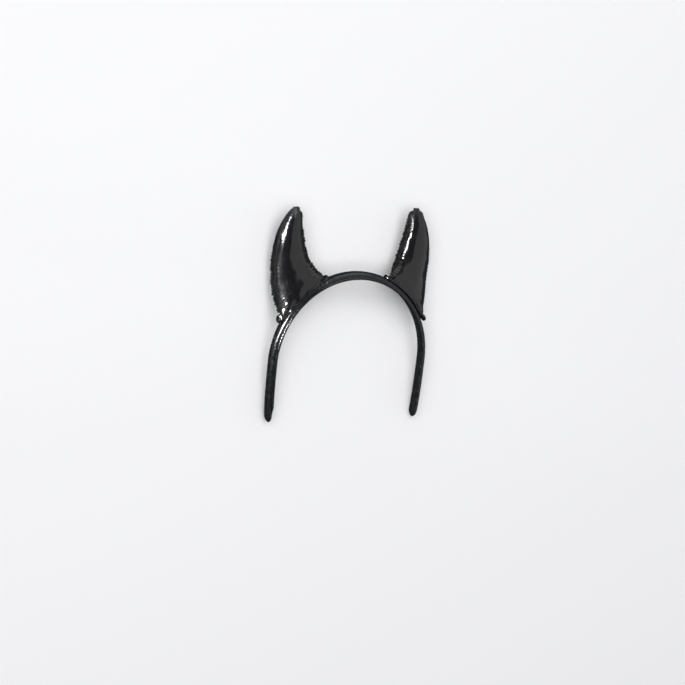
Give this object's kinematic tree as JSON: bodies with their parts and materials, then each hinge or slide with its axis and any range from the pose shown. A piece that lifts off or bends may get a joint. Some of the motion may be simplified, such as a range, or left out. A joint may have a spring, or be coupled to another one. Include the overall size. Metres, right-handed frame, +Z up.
{
  "type": "devil horns headband",
  "caption": "Covered headband bent to the head, with stuffed, curved horns of glossy vinyl sewn to its top on both sides of the crown.",
  "frame": {"origin": "middle of the bounding box at the surface that the headband lies on", "axes": "+X from the wearer's right to the wearer's left, +Y from the open ends of the legs to the horns' tips, +Z up out of the surface, on the side that faces forwards when worn"},
  "size_m": [0.1622, 0.2086, 0.0354],
  "materials": {
    "patent_vinyl": "glossy patent vinyl over stuffing",
    "strip_vinyl": "satin-gloss vinyl covering over a plastic strip",
    "seam_vinyl": "gloss vinyl, folded and sewn"
  },
  "bodies": {
    "root": {"headband": "strip_vinyl", "edge_seam": "seam_vinyl", "horn_left_front": "patent_vinyl", "horn_left_back": "patent_vinyl", "horn_right_front": "patent_vinyl", "horn_right_back": "patent_vinyl", "tuck_left_outer": "seam_vinyl", "tuck_left_inner": "seam_vinyl", "tuck_right_outer": "seam_vinyl", "tuck_right_inner": "seam_vinyl"}
  },
  "joints": []
}
